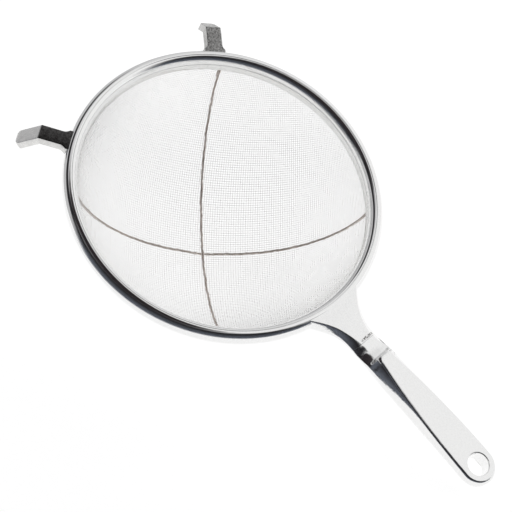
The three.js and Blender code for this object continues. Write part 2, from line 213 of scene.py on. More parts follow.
def heading(turn):
    """Level unit vector at an angle from the X axis."""
    return np.array([math.cos(turn), math.sin(turn), 0])


def turn_about_z(turn):
    """Matrix that turns points about the Z axis."""
    ahead, aside = math.cos(turn), math.sin(turn)
    return np.array([[ahead, -aside, 0], [aside, ahead, 0], [0, 0, 1]])


def grid_faces(rows, columns, wrap_rows, wrap_columns):
    """Quads of a grid of points, joined end to end where a direction wraps."""
    i = np.arange(rows if wrap_rows else rows - 1)[:, None]
    j = np.arange(columns if wrap_columns else columns - 1)[None, :]
    after_i = (i + 1) % rows
    after_j = (j + 1) % columns
    corners = [i * columns + j, i * columns + after_j, after_i * columns + after_j, after_i * columns + j]
    return stacked(*corners).reshape(-1, 4)


def add_mesh(name, points, quads):
    """New object of quads, from points in the rim's own frame."""
    turn, middle = rim_placement()
    placed = points.reshape(-1, 3) @ turn.T + middle
    mesh = bpy.data.meshes.new(name)
    mesh.vertices.add(len(placed))
    mesh.vertices.foreach_set("co", placed.astype(np.float32).ravel())
    mesh.loops.add(quads.size)
    mesh.loops.foreach_set("vertex_index", quads.astype(np.int32).ravel())
    mesh.polygons.add(len(quads))
    mesh.polygons.foreach_set("loop_start", np.arange(0, quads.size, 4, dtype=np.int32))
    mesh.update(calc_edges=True)
    piece = bpy.data.objects.new(name, mesh)
    bpy.context.scene.collection.objects.link(piece)
    return piece


def close_mesh(piece, sharp_degrees):
    """Joins the points that meet at closed ends, turns the faces outwards and keeps real edges sharp."""
    shape = bmesh.new()
    shape.from_mesh(piece.data)
    bmesh.ops.remove_doubles(shape, verts=shape.verts, dist=JOIN_DISTANCE)
    bmesh.ops.dissolve_degenerate(shape, edges=shape.edges, dist=JOIN_DISTANCE)
    bmesh.ops.recalc_face_normals(shape, faces=shape.faces)
    shape.to_mesh(piece.data)
    shape.free()
    piece.data.shade_smooth()
    piece.data.set_sharp_from_angle(angle=math.radians(sharp_degrees))


def add_surface(name, rings, sharp_degrees, ends_meet=False):
    """Closed surface through rings of points; the last ring goes on to the first if the ends meet."""
    piece = add_mesh(name, rings, grid_faces(*rings.shape[:2], ends_meet, True))
    close_mesh(piece, sharp_degrees)
    return piece


def finish_piece(piece, material, slot, *nodes):
    """Gives a piece its finish, ties it to the frame and hides the frame's nodes that it stands for."""
    piece.data.materials.append(material)
    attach(piece, "root")
    if nodes:
        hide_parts(*nodes)


def turned(profile, segments=320):
    """Closed (radius, height) profile turned round the Z axis: one ring for each of its points."""
    turn = np.linspace(0, 2 * math.pi, segments, endpoint=False)
    radius, height = profile[:, 0, None], profile[:, 1, None]
    return stacked(radius * np.cos(turn), radius * np.sin(turn), height)


def capped(rings):
    """Rings of points with an extra ring at each end that is shrunk to the end's middle."""
    first = np.broadcast_to(rings[:1].mean(axis=1, keepdims=True), rings[:1].shape)
    last = np.broadcast_to(rings[-1:].mean(axis=1, keepdims=True), rings[-1:].shape)
    return np.concatenate([first, rings, last])


def feed(tree, value, socket):
    """Joins another node's output to a socket, or sets a plain value there."""
    if isinstance(value, bpy.types.NodeSocket):
        tree.links.new(value, socket)
    else:
        socket.default_value = value


def fill(tree, made, **values):
    """Sets a node's properties and inputs; an input's spaces are written as underscores."""
    for key, value in values.items():
        if hasattr(made, key):
            setattr(made, key, value)
        else:
            feed(tree, value, made.inputs[key.replace("_", " ")])


def node(tree, kind, **values):
    """Adds a shader node with its properties and inputs."""
    made = tree.nodes.new(kind)
    fill(tree, made, **values)
    return made


def new_material(name):
    """A new material and its tree of nodes."""
    made = bpy.data.materials.new(name)
    made.use_nodes = True
    return made, made.node_tree


def object_place(tree):
    """A point's Object coordinates."""
    return node(tree, "ShaderNodeTexCoord").outputs["Object"]


def noise(tree, scale, detail=3.0, roughness=0.5):
    """Noise on Object coordinates; scale is in features per metre."""
    place = object_place(tree)
    made = node(tree, "ShaderNodeTexNoise", Vector=place, Scale=scale, Detail=detail, Roughness=roughness)
    return made.outputs["Fac"]


def ramp(tree, value, low, high, start=0.3, stop=0.7):
    """Value carried from the range start to stop over to the range low to high, clamped."""
    made = node(
        tree, "ShaderNodeMapRange", Value=value, From_Min=start, From_Max=stop, To_Min=low, To_Max=high)
    return made.outputs["Result"]


def tint(tree, value, low, high):
    """Mix of two colours by a value from 0 to 1; a colour is three numbers or another node's output."""
    made = node(tree, "ShaderNodeMix", data_type="RGBA")
    ends = [socket for socket in made.inputs if socket.type == "RGBA"]
    for socket, shade in zip(ends, (low, high)):
        feed(tree, shade if isinstance(shade, bpy.types.NodeSocket) else (*shade, 1), socket)
    feed(tree, value, made.inputs[0])
    return next(socket for socket in made.outputs if socket.type == "RGBA")


def reckon(tree, operation, *values):
    """Result of a Math node on numbers or other nodes' outputs."""
    made = node(tree, "ShaderNodeMath", operation=operation)
    for value, socket in zip(values, made.inputs):
        feed(tree, value, socket)
    return made.outputs[0]


def product(tree, *values):
    """Product of several values."""
    result = values[0]
    for value in values[1:]:
        result = reckon(tree, "MULTIPLY", result, value)
    return result


def metal(name, base, darker, roughness, bumps, grain=900.0, metallic=1.0, marks_and_shade=None):
    """Metal whose colour and roughness vary with a grain and whose surface waves.

    Each bump is a scale in features per metre, a detail and a height. The optional marks builds a value from
    0 to 1 and names the colour and depth where it is 1: real pits on the neck, painted shade on the hooks.
    """
    made, tree = new_material(name)
    shade = ramp(tree, noise(tree, grain, detail=5, roughness=0.65), 0, 1)
    finish = tint(tree, shade, [darker * part for part in base], base)
    patches = noise(tree, PATCH_SHARE * grain, detail=4, roughness=0.6)
    dullness = ramp(tree, patches, *roughness)
    heights = [(noise(tree, scale, detail, roughness=0.55), height) for scale, detail, height in bumps]
    if marks_and_shade:
        build, mark_and_shade_colour, depth = marks_and_shade
        where = build(tree)
        # colour of the real pits on the neck, and of the painted shade on the hooks
        finish = tint(tree, where, finish, mark_and_shade_colour)
        heights.append((where, -depth))
    normal = None
    for value, height in heights:
        bump = node(
            tree, "ShaderNodeBump", Height=value, Strength=1.0, Distance=abs(height), invert=height < 0)
        if normal:
            fill(tree, bump, Normal=normal)
        normal = bump.outputs["Normal"]
    shader = tree.nodes["Principled BSDF"]
    fill(tree, shader, Metallic=metallic, Roughness=dullness, Base_Color=finish, Normal=normal)
    return made


class StrainerRim(bpy.types.Operator):
    """Turn the oval hoop and the thin band that clamps the cloth"""

    bl_idname = "strainer.rim"
    bl_label = "Rim"

    groove_place = 101  # degrees round the oval, a little past its crest
    groove_spread = 2.5  # degrees
    fine_reach = 14  # degrees to either side of the groove with closer points
    coarse_gap = 2  # degrees from the last coarse point to the first close one
    band_corner = 0.35  # share of the band's wall that rounds its corners

    def execute(self, context):
        rim, _ = sizes()
        colours = context.scene.strainer_colours
        polished = metal(
            "polished_rim", colours.polished, darker=0.93, roughness=(0.03, 0.09), bumps=[(60, 2, 0.00012)])
        brushed = metal(
            "band_metal", colours.band, darker=0.88, roughness=(0.10, 0.2), bumps=[(90, 2, 0.0001)])
        hoop = add_surface("hoop", turned(self.hoop_profile(rim)), sharp_degrees=50, ends_meet=True)
        finish_piece(hoop, polished, "polished_metal", "rim_hoop")
        band = add_surface("band", turned(self.band_profile(rim)), sharp_degrees=50, ends_meet=True)
        finish_piece(band, brushed, "brushed_metal", "clamp_band")
        return {"FINISHED"}

    def hoop_profile(self, rim):
        """Oval from the bottom round the outside and over the top to the inner lip, then the cloth's step.

        A bell-shaped groove marks the fold just inside the crest.
        """
        half = rim.rim_height / 2 - FACET_ALLOWANCE
        middle = rim.bowl_radius + rim.rim_width / 2
        fine_low = self.groove_place - self.fine_reach
        fine_high = self.groove_place + self.fine_reach
        degrees = np.concatenate([
            np.linspace(-90, fine_low - self.coarse_gap, 56),
            np.linspace(fine_low, fine_high, 57),
            np.linspace(fine_high + self.coarse_gap, 180, 24),
        ])
        round_oval = np.radians(degrees)
        bell = np.exp(-((degrees - self.groove_place) / self.groove_spread) ** 2)
        share = 1 - rim.groove_depth / half * bell
        radius = middle + rim.rim_width / 2 * share * np.cos(round_oval)
        oval = stacked(radius, half * share * np.sin(round_oval))
        rebate = rim.bowl_radius + rim.band_thickness + 2 * rim.clearance + rim.cloth_thickness
        step = np.array([[rebate, 0], [rebate, -half]])
        return np.concatenate([oval, step])

    def band_profile(self, rim):
        """Upright strip with rounded corners: each corner is a quarter circle."""
        half = rim.rim_height / 2
        corner = rim.band_thickness * self.band_corner
        turn = arc(0, 90, 6)
        inner = rim.bowl_radius + corner
        outer = rim.bowl_radius + rim.band_thickness - corner
        low = corner - half
        high = -rim.clearance - corner
        middles = np.array([[outer, high], [inner, high], [inner, low], [outer, low]])
        starts = np.radians([0, 90, 180, 270])[:, None] + turn
        arcs = stacked(np.cos(starts), np.sin(starts)) * corner + middles[:, None]
        return arcs.reshape(-1, 2)


class StrainerWeave(bpy.types.Operator):
    """Weave the fine cloth of the bowl from single wires"""

    bl_idname = "strainer.weave"
    bl_label = "Weave"

    edge_lap = 1.6  # how far the wires reach up behind the hoop, in thicknesses of the cloth

    def execute(self, context):
        colours = context.scene.strainer_colours
        bright = metal(
            "woven_wire", colours.weave, darker=0.8, roughness=(0.2, 0.35), bumps=[(2500, 2, 0.00002)],
            grain=400)
        pieces = []
        for across, family in ((False, "warp"), (True, "weft")):
            for side in (-1, 1):
                points, quads = self.wires(across, side)
                piece = add_mesh(f"weave_{family}_{'left' if side < 0 else 'right'}", points, quads)
                piece.data.shade_smooth()
                finish_piece(piece, bright, "woven_wire")
                pieces.append(piece)
        for piece in pieces:
            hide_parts("mesh_bowl")
        return {"FINISHED"}

    def wires(self, across, side):
        """Half of one family of wires on the bowl.

        The flat cloth is a square lattice. A lattice point at distance r from the middle goes to the
        sphere at the polar angle r / R in the same direction, and is lifted or lowered by one wire radius in
        turn, so that the two families pass over and under each other. Each point carries a square ring set on
        its edge. The lattice is turned so that its wires run with the stay wires.
        """
        rim, _ = sizes()
        ball, centre = bowl_sphere()
        pitch, radius = rim.weave_pitch, rim.weave_wire / 2
        edge_height = centre + rim.rim_height / 2 - rim.cloth_thickness * self.edge_lap
        reach = ball * math.acos(edge_height / ball)
        count = int(reach / pitch)
        line = np.arange(-count, count + 1)
        half = line[line >= 0] if side > 0 else line[line < 0]
        wire, step = np.meshgrid(half, line, indexing="ij")
        inside = np.hypot(wire, step) * pitch < reach
        u, v = (step, wire) if across else (wire, step)

        def on_bowl(u, v):
            flat = np.maximum(np.hypot(u, v) * pitch, 1e-9)
            polar = flat / ball
            spread = np.sin(polar) / flat * pitch
            return stacked(spread * u, spread * v, -np.cos(polar))

        out = on_bowl(u, v)
        nudge = 0.01
        ahead = on_bowl(u + nudge, v) - out if across else on_bowl(u, v + nudge) - out
        ahead /= np.linalg.norm(ahead, axis=-1, keepdims=True)
        beside = np.cross(ahead, out)
        lift = np.where((wire + step) % 2 == 0, 1.0, -1.0) * (-1.0 if across else 1.0)
        middle = out * (ball + lift * radius)[..., None]
        ring = np.radians([0, 90, 180, 270])
        points = middle[..., None, :] + radius * (
            np.cos(ring)[:, None] * beside[..., None, :] + np.sin(ring)[:, None] * out[..., None, :])
        points = points @ turn_about_z(rim.stay_angle_b).T
        points[..., 2] += centre
        index = np.cumsum(inside.ravel()).reshape(inside.shape) - 1
        corner = np.arange(4)
        joined = inside[:, :-1] & inside[:, 1:]
        start = index[:, :-1][joined][:, None] * 4
        end = index[:, 1:][joined][:, None] * 4
        after = (corner + 1) % 4
        sides = stacked(start + corner, start + after, end + after, end + corner).reshape(-1, 4)
        padded = np.pad(inside, ((0, 0), (1, 1)))
        first = index[inside & ~padded[:, :-2]][:, None] * 4 + corner[::-1]
        last = index[inside & ~padded[:, 2:]][:, None] * 4 + corner
        quads = np.concatenate([sides, first, last])
        return points[inside], quads if across else quads[:, ::-1]


class StrainerStays(bpy.types.Operator):
    """Bend the two stiffening wires that cross under the bowl"""

    bl_idname = "strainer.stays"
    bl_label = "Stay wires"

    stations = 260  # sections along a wire
    points_round = 20  # points of a section
    long_wave, short_wave = 37, 89  # waves of the wire's wander, per turn of its circle
    lobe_depth = 0.13  # how much the section's two lobes narrow between them

    def execute(self, context):
        rim, _ = sizes()
        colours = context.scene.strainer_colours
        dull = metal(
            "stay_wire", colours.stay, darker=0.5, roughness=(0.35, 0.6), bumps=[(1400, 4, 0.00008)],
            grain=320, metallic=0.6)
        crossing = rim.stay_offset / math.sin(rim.stay_angle_b - rim.stay_angle_a)
        wires = (
            ("stay_a", rim.stay_angle_a, rim.stay_offset, 0.0, "cross_wire_a"),
            ("stay_b", rim.stay_angle_b, 0.0, rim.stay_wire + rim.clearance, "cross_wire_b"),
        )
        for name, direction, offset, dip, cad_node in wires:
            rings = capped(self.rings(direction, offset, dip, crossing))
            piece = add_surface(name, rings, sharp_degrees=50)
            finish_piece(piece, dull, "dark_wire", cad_node)
        return {"FINISHED"}

    def rings(self, direction, offset, dip, crossing):
        """Oval rings along a circle in an upright plane, just outside the cloth.

        The section is two-lobed and twists along the wire, and goes to a flat oval towards each end. The
        wire strays sideways by two sines of unlike length, and the lower one swings out by a bell curve where
        the two cross.
        """
        rim, _ = sizes()
        ball, centre = bowl_sphere()
        radius = rim.stay_wire / 2
        follow = ball + rim.weave_wire + radius
        circle = math.sqrt(follow * follow - offset * offset)
        end = math.acos((centre + rim.rim_height / 2 + rim.clearance) / circle)
        turn = np.linspace(-end, end, self.stations)[:, None]
        along = heading(direction)
        side = heading(direction + math.pi / 2)
        out = along * np.sin(turn) - np.array([0, 0, 1]) * np.cos(turn)
        flat = smooth(rim.stay_foot_length - (end - np.abs(turn)) * circle, 0, rim.stay_foot_length)
        wide = blend(radius, rim.stay_foot_width / 2, flat)
        thick = blend(radius, rim.stay_foot_thickness / 2, flat)
        swing = dip * np.exp(-((turn * circle - crossing) / rim.stay_dip_length) ** 2)
        waves = np.sin(self.long_wave * turn) + np.sin(self.short_wave * turn + 1)
        stray = rim.stay_wander * (1 - flat) * waves
        outwards = circle + swing - radius + thick
        middle = side * (offset + stray) + out * outwards + np.array([0, 0, centre])
        around = np.linspace(0, 2 * math.pi, self.points_round, endpoint=False)[:, None]
        twist = 2 * (around - turn[:, None] * circle / rim.stay_twist * 2 * math.pi)
        lobes = 1 + self.lobe_depth * (1 - flat[:, None]) * (np.cos(twist) - 1)
        return middle[:, None] + lobes * (
            wide[:, None] * np.cos(around) * side + (thick * out)[:, None] * np.sin(around))


class StrainerHandle(bpy.types.Operator):
    """Shape the flared neck and the grip with its raised pad and hanging hole"""

    bl_idname = "strainer.handle"
    bl_label = "Handle"

    pit_colour = (0.2, 0.19, 0.18)
    pit_depth = 0.0003
    chain_gap = 0.0016  # from the chain of pits to the seam
    chain_ends = (-0.0035, 0.0085)  # across the neck
    chain_fades = (0.002, 0.0005)  # lengths over which the chain fades at those ends
    chain_half_widths = (0.0004, 0.0011)  # distances from its line where the chain begins to fade and ends
    ridge_power, scoop_power = 1.3, 2.0  # of the facets' curve on the neck and at the scoop
    flare_power = 2.5  # of the neck's widening towards its root
    bow_power = 1.5  # of the fading of the root's bow
    slope_power = 1.1  # of the fall of the grip's sides
    flat_share = 0.96  # of the neck's flat that has points of its own
    belly_lead = 0.004  # how far before the seam the belly begins
    nose_corner = 0.0006  # rounding of the grip's front corners in plan
    pad_flat_gap = 0.0004  # from the pad's bevel to the first ring on its flat
    step_before, step_behind = 0.001, 0.0015  # reach of the step at the pad's front

    def execute(self, context):
        colours = context.scene.strainer_colours
        finish = {"darker": 0.94, "roughness": (0.05, 0.13), "bumps": [(45, 2, 0.00025), (210, 2, 0.00014)]}
        pits = (self.pits, self.pit_colour, self.pit_depth)
        pitted = metal("pitted_neck", colours.polished, **finish, marks_and_shade=pits)
        polished = metal("polished_handle", colours.polished, **finish)
        neck = add_surface("neck", capped(self.neck_rings()), sharp_degrees=60)
        finish_piece(neck, pitted, "polished_metal", "handle_neck")
        grip = add_surface("grip", self.grip_rings(), sharp_degrees=40, ends_meet=True)
        finish_piece(grip, polished, "polished_metal", "handle_grip")
        return {"FINISHED"}

    @staticmethod
    def seam_x():
        """Distance of the seam from the bowl's axis."""
        rim, handle = sizes()
        return rim.bowl_radius + rim.rim_width + handle.neck_length

    def pits(self, tree):
        """A short chain of casting pits across the neck's flat, just before the seam."""
        turn, middle = rim_placement()
        tip = math.atan2(turn[0, 2], turn[0, 0])
        place = object_place(tree)
        rim_frame = node(
            tree, "ShaderNodeMapping", Vector=place, Rotation=(0, -tip, 0), Location=tuple(-middle @ turn))
        parts = node(tree, "ShaderNodeSeparateXYZ", Vector=rim_frame.outputs["Vector"])
        across = reckon(tree, "SUBTRACT", parts.outputs["X"], self.seam_x() - self.chain_gap)
        off_line = reckon(tree, "ABSOLUTE", across)
        low, high = self.chain_ends
        low_fade, high_fade = self.chain_fades
        near_line = ramp(tree, off_line, 1, 0, *self.chain_half_widths)
        after_low = ramp(tree, parts.outputs["Y"], 0, 1, low, low + low_fade)
        before_high = ramp(tree, parts.outputs["Y"], 1, 0, high - high_fade, high)
        spots = ramp(tree, noise(tree, scale=800, detail=2), 0, 1, start=0.46, stop=0.56)
        return product(tree, near_line, after_low, before_high, spots)

    def into_scoop(self, x):
        """Smooth rise from 0 on the neck to 1 at the pad's front."""
        _, handle = sizes()
        return smooth(x, self.seam_x() - handle.scoop_length, self.seam_x() + handle.scoop_length)

    def edge_width(self, x):
        """How far the edge's facet reaches in from the side: it widens from the neck to the scoop."""
        _, handle = sizes()
        return blend(handle.neck_edge, handle.scoop_edge, self.into_scoop(x))

    def edge_curve(self, x, share):
        """Share of the facet's drop at a share of its width.

        It is a power of the width, nearly straight on the neck and round at the scoop.
        """
        return share ** blend(self.ridge_power, self.scoop_power, self.into_scoop(x))

    def neck_rings(self):
        """Sections from the hoop's crest to the seam.

        The half-width falls from root to neck with a power of the distance to the seam. A section is a flat
        top with sloping facets over an elliptical keel. It bows back at the root to follow the hoop's circle.
        """
        rim, handle = sizes()
        crest = rim.bowl_radius + rim.rim_width - handle.lap_depth
        seam = self.seam_x() - handle.seam_gap / 2
        groove = 2 * handle.seam_gap
        body_x = np.linspace(crest, seam - groove, 90)
        lip_x = seam - groove * np.linspace(0.75, 0, 4)
        x = np.concatenate([body_x, lip_x])[:, None]
        share = (seam - x) / (seam - crest)
        tuck = np.sqrt(np.maximum(groove ** 2 - np.maximum(x - seam + groove, 0) ** 2, 0)) - groove
        flare = share ** self.flare_power
        half = blend(handle.neck_width, handle.neck_root_width, flare) / 2 + tuck
        top = blend(handle.neck_top_at_seam, handle.neck_top_at_rim, share) + tuck
        bottom = blend(handle.neck_bottom_at_seam, handle.neck_bottom_at_rim, share) - tuck
        quarter = np.linspace(0, math.pi / 2, 14)
        edge = self.edge_width(x)
        keel = handle.keel
        deep = handle.shoulder - bottom
        facet = np.linspace(1, 0, 16)
        upper_y = half - rim.clearance - edge * (1 - facet)
        upper_z = top - handle.neck_edge * self.edge_curve(x, facet)
        lower_y = half - keel + keel * np.cos(quarter[::-1])
        lower_z = handle.shoulder - deep * np.sin(quarter[::-1])
        flat = np.linspace(self.flat_share, -self.flat_share, 25)
        top_y = (half - rim.clearance - edge) * flat
        top_z = top + 0 * flat
        y = np.concatenate([upper_y, top_y, -upper_y[:, ::-1], -lower_y[:, ::-1], lower_y], axis=1)
        z = np.concatenate([upper_z, top_z, upper_z[:, ::-1], lower_z[:, ::-1], lower_z], axis=1)
        bow = (crest - np.sqrt(np.maximum(crest ** 2 - y ** 2, 0))) * share ** self.bow_power
        return stacked(x - bow, y, z)

    def grip_rings(self):
        """Rings from the hanging hole's wall over the pad, down the sides, under the belly and back.

        Every ring goes once round the hole, and the hole's points lie on the rays from its middle to the
        outline. The pad's top is a plane, its edge a sixth of a circle, the sides nearly straight slopes to
        the shoulder, and the keel a quarter ellipse. A short smooth step in front of the pad leads down to
        the scoop, which is a squared sine along the handle with facets at its sides.
        """
        _, handle = sizes()
        seam = self.seam_x()
        front = seam + handle.seam_gap / 2
        tail = seam + handle.grip_length - handle.tail_width / 2
        pad_front = seam + handle.scoop_length
        corner_x = pad_front + handle.pad_bevel + handle.pad_corner

        def pad_top(x):
            back = (x - pad_front) / (tail - pad_front)
            return blend(handle.pad_front_height, handle.pad_tail_height, back)

        def pad_half(x):
            ahead = 1 - np.clip((x - corner_x) / (tail - corner_x), 0, 1)
            return blend(handle.pad_tail_width, handle.pad_front_width, ahead ** 2) / 2

        def body_half(x):
            share = np.clip((x - seam) / (tail - seam), 0, 1)
            return blend(handle.neck_width, handle.tail_width, share) / 2

        def shoulder(x):
            return blend(handle.shoulder, handle.grip_shoulder, smooth(x, seam, corner_x))

        def bottom(x):
            belly = seam + handle.belly_place
            begin = front - self.belly_lead
            fall = smooth(x, begin, belly) * (handle.belly_bottom - handle.neck_bottom_at_seam)
            rise = smooth(x, belly, tail) * (handle.tail_bottom - handle.belly_bottom)
            return handle.neck_bottom_at_seam + fall + rise

        def outline(half_width, tail_radius, nose, corner, inset):
            tip = arc(0, 90, 26)
            radius = tail_radius - inset
            end = stacked(tail + radius * np.cos(tip), radius * np.sin(tip))
            nose_x = nose + inset
            side_x = np.linspace(tail, nose_x + corner, 80)[1:]
            side = stacked(side_x, half_width(side_x) - inset)
            round_corner = arc(90, 180, 10)[1:]
            wide = side[-1, 1]
            bend_x = nose_x + corner + corner * np.cos(round_corner)
            bend_y = wide - corner + corner * np.sin(round_corner)
            bend = stacked(bend_x, bend_y)
            blunt_y = np.linspace(wide - corner, 0, 10)[1:]
            blunt = stacked(nose_x, blunt_y)
            upper = np.concatenate([end, side, bend, blunt])
            return np.concatenate([upper, upper[-2:0:-1] * [1, -1]])

        def pad_ring(inset, drop):
            plan = outline(pad_half, handle.pad_tail_width / 2, pad_front, handle.pad_corner, inset)
            return np.column_stack([plan, pad_top(plan[:, 0]) - drop])

        body = outline(body_half, handle.tail_width / 2, front, self.nose_corner, 0)
        around = np.arctan2(body[:, 1], body[:, 0] - tail)
        circle = stacked(np.cos(around), np.sin(around))

        def hole_ring(radius, height, lift):
            plan = circle * radius + [tail, 0]
            return np.column_stack([plan, height(plan[:, 0]) + lift])

        hole = handle.hole_diameter / 2
        chamfer = handle.hole_chamfer
        wall_start = 1.4 * chamfer
        round_off = 0.3 * chamfer
        flat_start = 1.5 * chamfer
        bevel = handle.pad_bevel
        rings = [
            hole_ring(hole, bottom, chamfer),
            hole_ring(hole, bottom, wall_start),
            hole_ring(hole, pad_top, -wall_start),
            hole_ring(hole, pad_top, -chamfer),
            hole_ring(hole + round_off, pad_top, -round_off),
            hole_ring(hole + chamfer, pad_top, 0),
            hole_ring(hole + flat_start, pad_top, 0),
            pad_ring(bevel + self.pad_flat_gap, 0),
        ]
        for turn in arc(0, 60, 8):
            rings.append(pad_ring(bevel * (1 - math.sin(turn)), bevel * (1 - math.cos(turn))))
        pad = rings[-1][:, :2]
        for share in np.linspace(0, 1, 40):
            plan = blend(pad, body, share)
            x, y = plan[:, 0], np.abs(plan[:, 1])
            before = np.clip((x - front) / handle.scoop_length, 0, 1)
            scoop = handle.neck_top_at_seam - handle.scoop_depth * np.sin(math.pi * before) ** 2
            into_edge = np.clip(1 - (body_half(x) - y) / self.edge_width(x), 0, 1)
            facet_drop = handle.neck_edge + handle.shoulder - shoulder(x)
            scoop = scoop - facet_drop * self.edge_curve(x, into_edge)
            foot = pad_top(x) - bevel / 2
            beside_pad = np.clip((y - pad_half(x)) / (body_half(x) - pad_half(x)), 0, 1)
            down = np.where(x < corner_x, beside_pad, share)
            slope = blend(foot, shoulder(x), down ** self.slope_power)
            in_front = smooth(x, pad_front + self.step_behind, pad_front - self.step_before)
            rings.append(np.column_stack([plan, blend(slope, scoop, in_front)]))
        across = body[:, 1] / body_half(body[:, 0])
        for turn in arc(0, 90, 12):
            inset = handle.keel * (1 - math.cos(turn)) * across
            plan = np.column_stack([body[:, 0], body[:, 1] - inset])
            deep = shoulder(plan[:, 0]) - bottom(plan[:, 0])
            rings.append(np.column_stack([plan, shoulder(plan[:, 0]) - deep * math.sin(turn)]))
        keel = rings[-1][:, :2]
        mouth = circle * (hole + chamfer) + [tail, 0]
        for share in np.linspace(0, 1, 16)[1:]:
            plan = blend(keel, mouth, share)
            rings.append(np.column_stack([plan, bottom(plan[:, 0])]))
        return np.stack(rings)


class StrainerHooks(bpy.types.Operator):
    """Bend the two rest hooks opposite the handle"""

    bl_idname = "strainer.hooks"
    bl_label = "Rest hooks"

    # colour of the painted shade that stands for the dark which the hooks' polished upper faces mirror
    painted_shade_colour = (0.02, 0.018, 0.018)
    painted_shade_fade = (0.0007, 0.0002)  # depths under the upper face between which the painted shade sets in
    painted_shade_bend = 0.001  # length past the bend over which the leg's painted shade gives way to the tip's
    half_bend = 0.003  # half the length of the bend
    flare_length = 0.004  # length of the widened root
    edge = 0.0006  # rounding of the strip's long edges

    def execute(self, context):
        """Each hook has a direction, the darkness of its painted shade on leg, tip and sides, and how much
        small spots lighten that shade.
        """
        _, handle = sizes()
        colours = context.scene.strainer_colours
        bumps = [(220, 3, 0.0001), (900, 3, 0.000015)]
        strip = capped(self.strip())
        hooks = (
            ("hook_left", -handle.hook_angle, (1.0, 0.04, 0.0), 0.06),
            ("hook_right", handle.hook_angle, (0.88, 0.85, 0.5), 0.35),
        )
        for name, turn, painted_shades, shade_breakup in hooks:
            # painted shade on this hook, set apart for each hook by how its faces meet the light
            marks_and_shade = (lambda tree: self.skin(tree, shade_breakup), self.painted_shade_colour, 0.0)
            cast = metal(
                f"cast_{name}", colours.cast, darker=0.88, roughness=(0.2, 0.42), bumps=bumps, grain=700,
                marks_and_shade=marks_and_shade)
            piece = add_surface(f"cast_{name}", strip @ turn_about_z(turn).T, sharp_degrees=35)
            self.add_painted_shade(piece, *painted_shades)
            finish_piece(piece, cast, "brushed_metal", name)
        return {"FINISHED"}

    @staticmethod
    def skin(tree, shade_breakup):
        """Painted shade by the mark that the mesh carries, lightened in small spots by the given share."""
        mark = node(tree, "ShaderNodeAttribute", attribute_name="skin").outputs["Fac"]
        spots = ramp(tree, noise(tree, scale=900, roughness=0.6), 1 - shade_breakup, 1, start=0.4, stop=0.6)
        clouds = ramp(tree, noise(tree, scale=260), 0.93, 1)
        return product(tree, mark, clouds, spots)

    def add_painted_shade(self, piece, leg_painted_shade, tip_painted_shade, side_painted_shade):
        """Marks how dark the painted shade is on the leg's upper face, on the tip's, and elsewhere."""
        rim, handle = sizes()
        turn, middle = rim_placement()
        placed = np.empty(len(piece.data.vertices) * 3, dtype=np.float32)
        piece.data.vertices.foreach_get("co", placed)
        local = (placed.reshape(-1, 3) - middle) @ turn
        bend = rim.bowl_radius + rim.rim_width + handle.hook_leg
        past_bend = np.maximum(np.hypot(local[:, 0], local[:, 1]) - bend, 0)
        upper_face = handle.hook_top - past_bend * handle.hook_tip_drop / handle.hook_tip_reach
        lowest, highest = self.painted_shade_fade
        on_top = smooth(local[:, 2], upper_face - lowest, upper_face - highest)
        on_tip = smooth(past_bend, 0, self.painted_shade_bend)
        skin = blend(side_painted_shade, blend(leg_painted_shade, tip_painted_shade, on_tip), on_top)
        marks_and_shade = piece.data.attributes.new("skin", "FLOAT", "POINT")
        marks_and_shade.data.foreach_set("value", skin.astype(np.float32))

    def strip(self):
        """Sections of a strip with sloping sides, at distances from its bend.

        The sections lean from upright to the tip's slope across the bend. The strip flares at its root by a
        square law, and its end is rounded by a quarter circle in plan.
        """
        rim, handle = sizes()
        bend_x = rim.bowl_radius + rim.rim_width + handle.hook_leg
        turn = math.atan2(handle.hook_tip_drop, handle.hook_tip_reach)
        tip = math.hypot(handle.hook_tip_reach, handle.hook_tip_drop) - 2 * FACET_ALLOWANCE
        bend = self.half_bend
        root = -handle.hook_leg - rim.rim_width / 2
        flare_end = self.flare_length - handle.hook_leg
        end_turn = arc(0, 88, 14)
        place = np.concatenate([
            np.linspace(root, flare_end, 24)[:-1],
            np.linspace(flare_end, -bend, 8)[:-1],
            np.linspace(-bend, bend, 13)[:-1],
            np.linspace(bend, tip - handle.hook_corner, 10)[:-1],
            tip - handle.hook_corner + handle.hook_corner * np.sin(end_turn),
        ])[:, None]
        lean = turn * np.clip((place + bend) / (2 * bend), 0, 1)
        thick = handle.hook_thickness / np.cos(np.minimum(lean, turn - lean))
        into_flare = np.clip((flare_end - place) / self.flare_length, 0, 1)
        flare = handle.hook_flare * into_flare ** 2
        into_corner = np.maximum(place - tip + handle.hook_corner, 0)
        cut = handle.hook_corner - np.sqrt(handle.hook_corner ** 2 - into_corner ** 2)
        half = handle.hook_width / 2 + flare - cut
        edge = self.edge
        quarter = arc(0, 90, 5)
        wide = half + handle.hook_draft
        upper_y = half - edge + edge * np.cos(quarter)
        lower_y = wide - edge + edge * np.sin(quarter)
        upper_depth = edge - edge * np.sin(quarter) + 0 * half
        lower_depth = thick - edge + edge * np.cos(quarter)
        across = np.concatenate([upper_y, -upper_y[:, ::-1], -lower_y[:, ::-1], lower_y], axis=1)
        depth = np.concatenate([upper_depth, upper_depth[:, ::-1], lower_depth[:, ::-1], lower_depth], axis=1)
        on_tip = np.maximum(place, 0)
        x = bend_x + np.minimum(place, 0) + on_tip * math.cos(turn) - depth * np.sin(lean)
        z = handle.hook_top - on_tip * math.sin(turn) - depth * np.cos(lean)
        return stacked(x, across, z)


